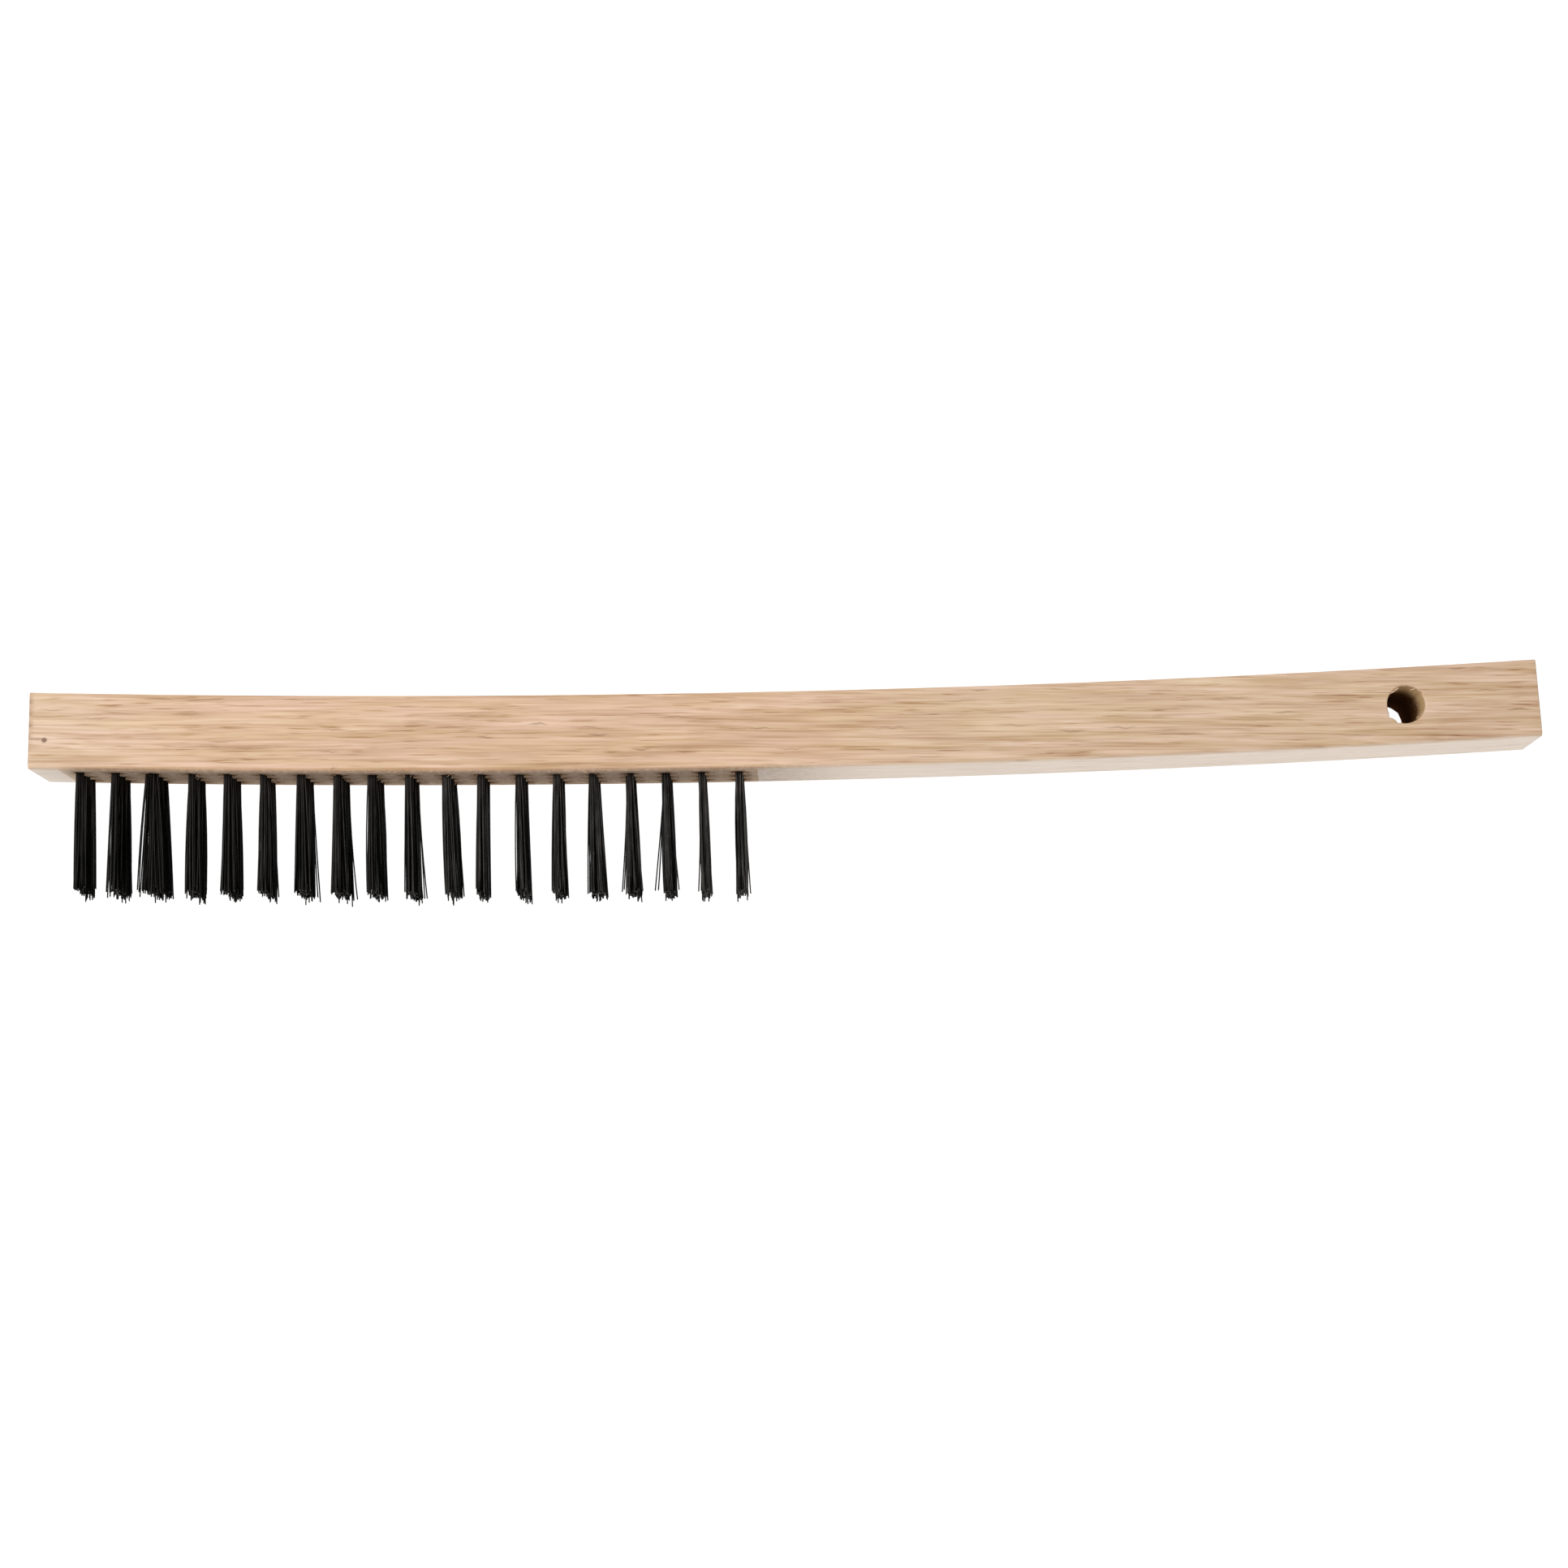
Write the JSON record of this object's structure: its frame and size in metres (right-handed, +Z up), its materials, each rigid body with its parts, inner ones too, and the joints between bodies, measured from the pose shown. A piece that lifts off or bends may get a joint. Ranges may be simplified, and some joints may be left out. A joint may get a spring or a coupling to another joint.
{
  "type": "wire scratch brush",
  "caption": "Long curved-handle wire scratch brush: a square-cut hardwood bar with rows of black steel wire tufts along one end and a hang hole at the other.",
  "frame": {"origin": "middle of the bottom of the whole brush's box, on the surface that the brush lies on", "axes": "+X along the bar from the nose of the head to the handle end, -Y the way the wires point, +Z up through the bar's 22.2 mm width, square to its two flat sides"},
  "size_m": [0.356, 0.0544, 0.0222],
  "materials": {
    "bare_hardwood": "sanded, unfinished, open grain",
    "black_steel_wire": "black, slight sheen"
  },
  "bodies": {
    "root": {"handle_block": "bare_hardwood", "wire_tuft_a01": "black_steel_wire", "wire_tuft_a02": "black_steel_wire", "wire_tuft_a03": "black_steel_wire", "wire_tuft_a04": "black_steel_wire", "wire_tuft_a05": "black_steel_wire", "wire_tuft_a06": "black_steel_wire", "wire_tuft_a07": "black_steel_wire", "wire_tuft_a08": "black_steel_wire", "wire_tuft_a09": "black_steel_wire", "wire_tuft_a10": "black_steel_wire", "wire_tuft_a11": "black_steel_wire", "wire_tuft_a12": "black_steel_wire", "wire_tuft_a13": "black_steel_wire", "wire_tuft_a14": "black_steel_wire", "wire_tuft_a15": "black_steel_wire", "wire_tuft_a16": "black_steel_wire", "wire_tuft_a17": "black_steel_wire", "wire_tuft_a18": "black_steel_wire", "wire_tuft_a19": "black_steel_wire", "wire_tuft_b01": "black_steel_wire", "wire_tuft_b02": "black_steel_wire", "wire_tuft_b03": "black_steel_wire", "wire_tuft_b04": "black_steel_wire", "wire_tuft_b05": "black_steel_wire", "wire_tuft_b06": "black_steel_wire", "wire_tuft_b07": "black_steel_wire", "wire_tuft_b08": "black_steel_wire", "wire_tuft_b09": "black_steel_wire", "wire_tuft_b10": "black_steel_wire", "wire_tuft_b11": "black_steel_wire", "wire_tuft_b12": "black_steel_wire", "wire_tuft_b13": "black_steel_wire", "wire_tuft_b14": "black_steel_wire", "wire_tuft_b15": "black_steel_wire", "wire_tuft_b16": "black_steel_wire", "wire_tuft_b17": "black_steel_wire", "wire_tuft_b18": "black_steel_wire", "wire_tuft_b19": "black_steel_wire", "wire_tuft_c01": "black_steel_wire", "wire_tuft_c02": "black_steel_wire", "wire_tuft_c03": "black_steel_wire", "wire_tuft_c04": "black_steel_wire", "wire_tuft_c05": "black_steel_wire", "wire_tuft_c06": "black_steel_wire", "wire_tuft_c07": "black_steel_wire", "wire_tuft_c08": "black_steel_wire", "wire_tuft_c09": "black_steel_wire", "wire_tuft_c10": "black_steel_wire", "wire_tuft_c11": "black_steel_wire", "wire_tuft_c12": "black_steel_wire", "wire_tuft_c13": "black_steel_wire", "wire_tuft_c14": "black_steel_wire", "wire_tuft_c15": "black_steel_wire", "wire_tuft_c16": "black_steel_wire", "wire_tuft_c17": "black_steel_wire", "wire_tuft_c18": "black_steel_wire", "wire_tuft_c19": "black_steel_wire"}
  },
  "joints": []
}
